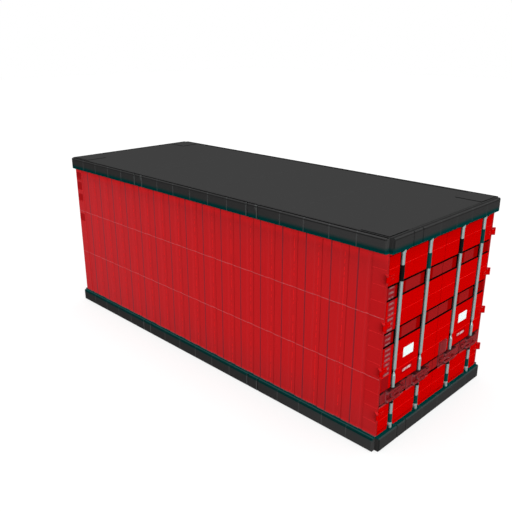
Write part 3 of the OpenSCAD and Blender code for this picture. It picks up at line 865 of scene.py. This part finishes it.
# plywood boards that run along the floor
plyLook = {
    "colour": paint(116, 78, 46),
    "wood": paint(152, 112, 72),
    "woodTone": (0.35, 0.68),
    "board": 0.305,
    "boardShare": 0.3,  # how much the boards differ
    "scuff": paint(96, 82, 68),
    "scuffs": (2.2, 5.0, 0.5, 0.75, 0.0, 0.5),
    "joint": paint(52, 36, 24),
    "jointHalf": 0.0016,
    "jointSoft": 0.0014,
    "steel": paint(128, 130, 130),  # screw heads over the cross members
    "screw": 0.006,
    "screwSoft": 0.001,
    "screwX": sideBay / 2 + 0.022,
    "screwY": 0.061,
    "hollow": 2.0,  # depth of joints and screws beside the grain's
    "grain": (26.0, 6.0, (0.25, 6.0, 1.0)),
    "specular": 0.1, "rough": (0.55, 0.75, 20.0), "bump": (0.2, 0.001),
}


def boardTone(finish):
    # another tone for each board
    tone = finish.node("ShaderNodeTexWhiteNoise")
    tone.noise_dimensions = "1D"
    board = finish.maths("DIVIDE", finish.y, plyLook["board"])
    finish.put(tone.inputs["W"], finish.maths("FLOOR", board))
    return tone.outputs["Value"]


def boardScrews(finish):
    look = plyLook
    alongX = finish.fold(finish.x, look["screwX"], sideBay)
    alongY = finish.fold(finish.y, look["screwY"], look["board"])
    apart = finish.maths("ADD", finish.times(alongX, alongX), finish.times(alongY, alongY))
    return finish.until(finish.maths("SQRT", apart), look["screw"], look["screwSoft"])


def floorPly():
    look = plyLook
    finish = Finish("floor_ply", look)
    grain = finish.noise(*look["grain"])
    finish.coat(look["wood"], finish.ease(grain, *look["woodTone"]))
    finish.coat(look["colour"], boardTone(finish), look["boardShare"])
    finish.coat(look["scuff"], finish.patches(*look["scuffs"]))
    joints = finish.ribbed(finish.y, 0.0, look["board"], look["jointHalf"], look["jointSoft"])
    finish.coat(look["joint"], joints)
    screws = boardScrews(finish)
    finish.coat(look["steel"], screws)
    hollows = finish.times(finish.most(joints, screws), look["hollow"])
    return finish.done(finish.less(grain, hollows))


sidePitch = (wallHigh.x - wallLow.x) / layout["sideFolds"]
frontPitch = (frontHigh.y - frontLow.y) / layout["frontFolds"]
finishes = {
    "frame": framePaint(),
    "door": doorPaint(),
    "hinge": plainPaint("hinge_paint", hingeLook),
    "bracket": bracketPaint(),
    "handle": handlePaint(),
    "seal": plainPaint("seal_rubber", sealLook),
    "floor": floorPly(),
    "side": sheetPaint("side_wall_paint", "x", wallLow.x, sidePitch),
    "end": sheetPaint("front_wall_paint", "y", frontLow.y, frontPitch),
    "post": postPaint(),
}
for name, y in rodY.items():
    finishes[name + "_rod"] = rodPaint(name + "_rod_paint", y)
print("finishes made:", len(finishes))

# which nodes wear each finish
dressed = {
    "frame": (
        "bottom_rail_left", "bottom_rail_right", "top_rail_left", "top_rail_right", "front_sill",
        "door_sill", "front_header", "door_header", "bottom_castings", "top_castings", "roof_panel",
        "roof_corner_plates", "cross_members",
    ),
    "side": ("side_wall_left", "side_wall_right"),
    "end": ("front_wall",),
    "post": (
        "front_post_left", "front_post_right", "door_post_left", "door_post_right",
        "hinge_lugs_left", "hinge_lugs_right",
    ),
    "door": ("left_door_leaf", "right_door_leaf", "door_strips"),
    "hinge": ("left_door_hinges", "right_door_hinges"),
    "bracket": ("left_rod_brackets", "right_rod_brackets", "cam_keepers"),
    "handle": (
        "left_handle_housings", "right_handle_housings", "right_lock_box", "left_outer_handle",
        "left_inner_handle", "right_inner_handle", "right_outer_handle",
    ),
    "seal": ("left_door_seal", "right_door_seal"),
    "floor": ("plywood_floor",),
}
for name in rodNames:
    dressed[name + "_rod"] = (name + "_rod",)


def dress(node, finish):
    for slot in nodes[node].material_slots:
        slot.material = finish


for kind, names in dressed.items():
    for name in names:
        dress(name, finishes[kind])
print("cad nodes dressed:", sum(len(names) for names in dressed.values()))


# mesh helpers for the pieces that the frame doesn't have
def addObject(name, data):
    made = bpy.data.objects.new(name, data)
    bpy.context.scene.collection.objects.link(made)
    return made


def addMesh(name, shape, finish):
    mesh = bpy.data.meshes.new(name)
    shape.to_mesh(mesh)
    shape.free()
    mesh.materials.append(finish)
    return addObject(name, mesh)


def makePiece(name, shape, finish, body):
    bmesh.ops.recalc_face_normals(shape, faces=shape.faces)
    piece = addMesh(name, shape, finish)
    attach(piece, body)


def addBlock(shape, low, high, chamfer):
    # a box between two corners, with its edges taken off
    low, high = Vector(low), Vector(high)
    place = Matrix.Translation((low + high) / 2) @ Matrix.Diagonal((*(high - low), 1.0))
    made = bmesh.ops.create_cube(shape, size=1.0, matrix=place)
    edges = list({edge for vert in made["verts"] for edge in vert.link_edges})
    bmesh.ops.bevel(shape, geom=edges, offset=chamfer, segments=2, profile=0.6, affect="EDGES")


boltSteps = (  # sides, lower and upper radius, start and end, as shares of the radius and height
    (24, 1.45, 1.35, 0.0, 0.25),
    (6, 1.12, 1.12, 0.25, 0.85),
    (6, 1.12, 0.86, 0.85, 1.0),
)


def addBolt(shape, centre, radius, height):
    # a hexagon head with a chamfered crown on a round washer, facing out of the doors
    turn = Vector((0, 0, 1)).rotation_difference(Vector((1, 0, 0))).to_matrix().to_4x4()
    place = Matrix.Translation(Vector(centre)) @ turn
    for sides, lower, upper, start, end in boltSteps:
        lift = Matrix.Translation((0, 0, height * (start + end) / 2))
        bmesh.ops.create_cone(
            shape, cap_ends=True, segments=sides, radius1=radius * lower, radius2=radius * upper,
            depth=height * (end - start), matrix=place @ lift,
        )


beadRound = ((-1.0, -0.3), (-0.7, 0.6), (0.0, 1.0), (0.7, 0.6), (1.0, -0.3))  # up and out


def addBead(shape, path, outward, half, proud):
    # a rounded bead along a path, raised outward from the sheet
    rings = []
    for point in path:
        offsets = [Vector((0, 0, up * half)) + outward * proud * share for up, share in beadRound]
        rings.append([shape.verts.new(point + offset) for offset in offsets])
    corners = len(beadRound)
    for first, second in zip(rings, rings[1:]):
        for here in range(corners):
            after = (here + 1) % corners
            shape.faces.new((first[here], first[after], second[after], second[here]))
    shape.faces.new(rings[0])
    shape.faces.new(reversed(rings[-1]))


def sheetLine(node, axis, out):
    # outline of a folded sheet's outer face, along x or y, read off its lowest vertices to 0.1 mm
    corners = [vert.co for vert in nodes[node].data.vertices]
    floor = min(corner.z for corner in corners)
    across = 1 - axis
    reach = {}
    for corner in corners:
        if corner.z > floor + 1e-4:
            continue
        key = round(corner[axis], 4)
        reach[key] = max(reach.get(key, -math.inf), corner[across] * out)
    points = []
    for key in sorted(reach):
        point = Vector((0, 0, 0))
        point[axis] = key
        point[across] = reach[key] * out
        points.append(point)
    return points


# what all the welded beads have
beadLook = {
    "mottle": (55.0, 4.0, 0.35, 0.65),
    "specular": 0.06, "rough": (0.45, 0.6, 50.0), "grain": (160.0, 3.0), "bump": (0.4, 0.0008),
    "half": 0.0026,
    "proud": 0.0014,
}


def makeSeams(name, lines, outward, look, finish, body):
    # a bead along each line, in each of the look's rows
    shape = bmesh.new()
    for number, line in product(look["rows"], lines):
        path = [point + Vector((0, 0, rowZ(number))) for point in line]
        addBead(shape, path, outward, look["half"], look["proud"])
    makePiece(name, shape, finish, body)


# pale weld seams across the walls
weldLook = {
    **beadLook,
    "colour": paint(192, 92, 97),
    "other": paint(206, 66, 70),
    "rows": (4, 8),
    "half": 0.0042,  # wider than the others, and more proud
    "proud": 0.0024,
    "endIn": 0.002,  # the seams stop short of the container's ends
    "step": 0.001,  # and step from the sheet to the posts
}
weldFinish = plainPaint("wall_weld", weldLook)


def overPosts(line, face):
    # along a side the seams run on over both posts
    look = weldLook
    before = (-doorX + look["endIn"], line[0].x - look["step"])
    after = (line[-1].x + look["step"], doorX - look["endIn"])
    ends = [[Vector((x, face, 0)) for x in places] for places in (before, after)]
    return ends[0] + line + ends[1]


def wallWelds(name, node, axis, out):
    outward = Vector((0, 0, 0))
    outward[1 - axis] = out
    line = sheetLine(node, axis, out)
    if axis == 0:
        line = overPosts(line, out * sideY)
    makeSeams(name, [line], outward, weldLook, weldFinish, "root")


wallWelds("left_wall_welds", "side_wall_left", 0, -1)
wallWelds("right_wall_welds", "side_wall_right", 0, 1)
wallWelds("front_wall_welds", "front_wall", 1, -1)
print("wall welds made")

# thin seams on the posts, in the rows that have no weld, in a brighter red as a painted highlight
postSeamLook = {
    **beadLook,
    "colour": paint(236, 46, 50),
    "other": paint(220, 32, 36),
    "rows": (1, 2, 3, 5, 6, 7, 9, 10, 11),
    "endIn": 0.001,
}
postSeamFinish = plainPaint("post_seam", postSeamLook)


def postSeams(name, node, out):
    look = postSeamLook
    low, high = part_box(node)
    face = high.y if out > 0 else low.y
    line = [Vector((x, face, 0)) for x in (low.x + look["endIn"], high.x - look["endIn"])]
    makeSeams(name, [line], Vector((0, out, 0)), look, postSeamFinish, "root")


for side, out in (("left", -1), ("right", 1)):
    postSeams("door_post_seams_" + side, "door_post_" + side, out)
    postSeams("front_post_seams_" + side, "front_post_" + side, out)
print("post seams made")

# thin seams on the leaves, broken at the rod channels, in a brighter red as a painted highlight
leafSeamLook = {
    **beadLook,
    "colour": paint(250, 14, 12),
    "other": paint(214, 4, 4),
    "rows": (1, 4, 5, 8, 11),
    "endIn": 0.002,
}
leafSeamFinish = plainPaint("leaf_seam", leafSeamLook)


def leafStretches(side):
    # stretches of a leaf's face between its edges and its rod channels
    low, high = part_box(side + "_door_leaf")
    stops = [low.y]
    for y in sorted((rodY[side + "_inner"], rodY[side + "_outer"])):
        stops += [y - channelHalf, y + channelHalf]
    stops.append(high.y)
    return zip(stops[0::2], stops[1::2])


def leafSeams(side):
    look = leafSeamLook
    name = side + "_leaf_seams"
    outward = Vector((1, 0, 0))
    lines = []
    for start, end in leafStretches(side):
        lines.append([Vector((doorX, y, 0)) for y in (start + look["endIn"], end - look["endIn"])])
    makeSeams(name, lines, outward, look, leafSeamFinish, side + "_door")


for side in ("left", "right"):
    leafSeams(side)
print("leaf seams made")

# bare plates on the leaves
plateLook = {
    "colour": paint(232, 246, 243),
    "other": paint(196, 206, 202),
    "mottle": (8.0, 5.0, 0.52, 0.75, 0.0, 0.5),
    "y": 0.607,
    "z": 1.030,
    "size": (0.200, 0.115),
    "thick": 0.003,
    "chamfer": 0.001,
    "specular": 0.2, "rough": (0.25, 0.4, 30.0), "grain": (240.0, 2.0), "bump": (0.05, 0.0004),
}
plateFinish = plainPaint("plate_enamel", plateLook)


def barePlate(side, out):
    look = plateLook
    shape = bmesh.new()
    centre = Vector((doorX + look["thick"] / 2, out * look["y"], look["z"]))
    half = Vector((look["thick"], *look["size"])) / 2
    addBlock(shape, centre - half, centre + half, look["chamfer"])
    makePiece(side + "_door_plate", shape, plateFinish, side + "_door")


barePlate("left", -1)
barePlate("right", 1)
print("plates made")

# bolts of the hinge blades
boltLook = {
    "colour": paint(188, 2, 2),
    "edge": paint(202, 16, 16),
    "edgeWide": 0.002,
    "edgeShare": 0.8,
    "radius": 0.007,
    "height": 0.006,
    "along": (0.018, 0.050),  # out from the blades' inner ends
    "up": 0.016,
    "specular": 0.05, "rough": (0.35, 0.55, 60.0), "grain": (500.0, 2.0), "bump": (0.1, 0.0004),
}
boltFinish = plainPaint("bolt_paint", boltLook)


def hingeBolts(side, out):
    look = boltLook
    shape = bmesh.new()
    inner = min(abs(end.y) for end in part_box(side + "_door_hinges"))
    bladeX = doorX + layout["bladeProud"]
    for number, along, up in product(layout["hingeRows"], look["along"], (-look["up"], look["up"])):
        centre = (bladeX, out * (inner + along), rowZ(number) + up)
        addBolt(shape, centre, look["radius"], look["height"])
    makePiece(side + "_hinge_bolts", shape, boltFinish, side + "_door")


hingeBolts("left", -1)
hingeBolts("right", 1)

# bolts of the lock gear and rivets of the lock box, in the gear's dark red
gearLook = {
    "barProud": 0.034,  # bars of the housings
    "barY": 0.100,
    "barZ": 0.0565,
    "plateProud": 0.003,  # backing plates
    "plateY": 0.222,
    "edgeY": 0.200,  # nearer in beside the leaf's hinge edge
    "plateZ": 0.058,
    "radius": 0.0065,
    "height": 0.0030,
    "rivet": 0.006,
    "rivetIn": 0.020,
    "rivetFlat": 0.5,
}


def gearBolts(side):
    # at each rod, two bolts on each bar of its housing and four at the corners of its backing plate
    look = gearLook
    shape = bmesh.new()
    inner, outer = rodY[side + "_inner"], rodY[side + "_outer"]
    out = 1 if inner > 0 else -1
    for y, up, across in product((inner, outer), (-1, 1), (-1, 1)):
        bar = (doorX + look["barProud"], y + across * look["barY"], handleZ + up * look["barZ"])
        addBolt(shape, bar, look["radius"], look["height"])
        reach = look["edgeY"] if y == outer and across == out else look["plateY"]
        plate = (doorX + look["plateProud"], y + across * reach, handleZ + up * look["plateZ"])
        addBolt(shape, plate, look["radius"], look["height"])
    makePiece(side + "_gear_bolts", shape, finishes["handle"], side + "_door")


def boxRivets():
    # low round rivets at the corners of the lock box
    look = gearLook
    shape = bmesh.new()
    low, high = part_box("right_lock_box")
    flat = Matrix.Diagonal((look["rivetFlat"], 1.0, 1.0, 1.0))
    inset = look["rivetIn"]
    for y, z in product((low.y + inset, high.y - inset), (low.z + inset, high.z - inset)):
        place = Matrix.Translation((high.x, y, z)) @ flat
        bmesh.ops.create_uvsphere(
            shape, u_segments=16, v_segments=10, radius=look["rivet"], matrix=place
        )
    makePiece("right_box_rivets", shape, finishes["handle"], "right_door")


for side in ("left", "right"):
    gearBolts(side)
boxRivets()
print("bolts and rivets made")

# faint seams across the roof
roofLook = {
    "at": (-1.25, 0.168, 1.571),
    "half": 0.004,
    "proud": 0.0008,
    "sunk": 0.001,
    "endIn": 0.002,
    "chamfer": 0.0005,
}


def roofSeams():
    look = roofLook
    shape = bmesh.new()
    for x in look["at"]:
        low = (x - look["half"], roofLow.y + look["endIn"], roofHigh.z - look["sunk"])
        high = (x + look["half"], roofHigh.y - look["endIn"], roofHigh.z + look["proud"])
        addBlock(shape, low, high, look["chamfer"])
    makePiece("roof_seams", shape, finishes["frame"], "root")


# sealant in the gap round the roof, and a thin line of it round the corner plates
sealantLook = {
    "colour": paint(14, 14, 14),
    "deep": darker(paint(14, 14, 14), 0.6),
    "spread": 0.2,
    "roof": {"gap": 0.006, "wide": 0.016, "sunk": 0.003, "tall": 0.004},
    "plate": {"gap": 0.005, "wide": 0.006, "sunk": 0.001, "tall": 0.004},
    "chamfer": 0.001,
    "specular": 0.02, "rough": (0.6, 0.75, 40.0), "grain": (180.0, 3.0), "bump": (0.3, 0.001),
}
sealantFinish = plainPaint("roof_sealant", sealantLook)


def addSealant(shape, low, high, size):
    # four strips round a rectangle
    gap = Vector((size["gap"], size["gap"], 0))
    low, high = low - gap, high + gap
    wide = size["wide"]
    strips = (
        (low.x, low.y, high.x, low.y + wide),
        (low.x, high.y - wide, high.x, high.y),
        (low.x, low.y + wide, low.x + wide, high.y - wide),
        (high.x - wide, low.y + wide, high.x, high.y - wide),
    )
    z = roofHigh.z - size["sunk"]
    for left, near, right, far in strips:
        addBlock(shape, (left, near, z), (right, far, z + size["tall"]), sealantLook["chamfer"])


def roofSealant():
    look = sealantLook
    shape = bmesh.new()
    addSealant(shape, roofLow, roofHigh, look["roof"])
    low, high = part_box("roof_corner_plates")
    side = layout["cornerPlate"]
    for x, y in product((low.x, high.x - side), (low.y, high.y - side)):
        corner = Vector((x, y, 0))
        addSealant(shape, corner, corner + Vector((side, side, 0)), look["plate"])
    makePiece("roof_sealant", shape, sealantFinish, "root")


roofSeams()
roofSealant()
print("roof seams made")

# studio: pale floor, white surroundings, a soft lamp above, another level with the doors, and sky light
studio = {
    "floorHalf": 60.0,
    "floorZ": -0.001,
    "floorBounce": (0.25, 0.25, 0.25, 1.0),  # what the floor throws back at the container
    "floorPale": (0.9, 0.9, 0.9, 1.0),  # what the camera sees
    "floorGlow": 0.72,
    "sky": 0.47,
    "lamps": (
        {"name": "upper_lamp", "from": (0.05, -0.05, 1.0), "power": 2.6, "angle": 60.0},
        {"name": "level_lamp", "from": (0.66, -0.29, 0.10), "power": 2.2, "angle": 30.0},
    ),
}


def seenRay(sums):
    # 1 for rays that show the surroundings: to the camera, in gloss and through glass
    path = sums.node("ShaderNodeLightPath")
    rays = ("Is Camera Ray", "Is Glossy Ray", "Is Transmission Ray")
    return sums.most(*[path.outputs[ray] for ray in rays])


def matt(sums, colour):
    made = sums.node("ShaderNodeBsdfDiffuse")
    made.inputs["Color"].default_value = colour
    return made.outputs[0]


def twoShaders(sums, share, first, second):
    made = sums.node("ShaderNodeMixShader")
    for socket, value in zip(made.inputs, (share, first, second)):
        sums.put(socket, value)
    return made.outputs[0]


def floorPaint():
    material = bpy.data.materials.new("studio_floor")
    sums = NodeSums(material)
    sums.tree.nodes.clear()
    glow = sums.node("ShaderNodeEmission").outputs[0]
    seen = twoShaders(sums, studio["floorGlow"], matt(sums, studio["floorPale"]), glow)
    either = twoShaders(sums, seenRay(sums), matt(sums, studio["floorBounce"]), seen)
    sums.put(sums.node("ShaderNodeOutputMaterial").inputs[0], either)
    return material


def studioFloor():
    half = studio["floorHalf"]
    shape = bmesh.new()
    corners = ((-half, -half), (half, -half), (half, half), (-half, half))
    shape.faces.new([shape.verts.new((x, y, studio["floorZ"])) for x, y in corners])
    floor = addMesh("studio_floor", shape, floorPaint())


def studioSky():
    world = bpy.data.worlds.new("studio_sky")
    bpy.context.scene.world = world
    sums = NodeSums(world)
    back = sums.tree.nodes["Background"]
    back.inputs["Color"].default_value = (1.0, 1.0, 1.0, 1.0)
    strength = sums.ease(seenRay(sums), 0.0, 1.0, studio["sky"])
    sums.put(back.inputs["Strength"], strength)


def studioLamp(look):
    data = bpy.data.lights.new(look["name"], "SUN")
    data.energy = look["power"]
    data.angle = math.radians(look["angle"])
    lamp = addObject(look["name"], data)
    lamp.rotation_euler = Vector(look["from"]).to_track_quat("Z", "Y").to_euler()


studioFloor()
studioSky()
for look in studio["lamps"]:
    studioLamp(look)
print("studio lit")

# camera, fitted to the photograph's frame
camera = {
    "at": (6.083, -6.053, 4.247),
    "towards": (0.002, 0.002, 1.220),
    "view": 44.89,
    "reach": 500.0,
}


def placeCamera():
    data = bpy.data.cameras.new("camera")
    data.sensor_fit = "HORIZONTAL"
    data.angle = math.radians(camera["view"])
    data.clip_end = camera["reach"]
    eye = addObject("camera", data)
    eye.location = camera["at"]
    line = Vector(camera["towards"]) - Vector(camera["at"])
    eye.rotation_euler = line.to_track_quat("-Z", "Y").to_euler()
    bpy.context.scene.camera = eye


placeCamera()
bpy.context.scene.view_settings.view_transform = "Standard"
print("camera placed")
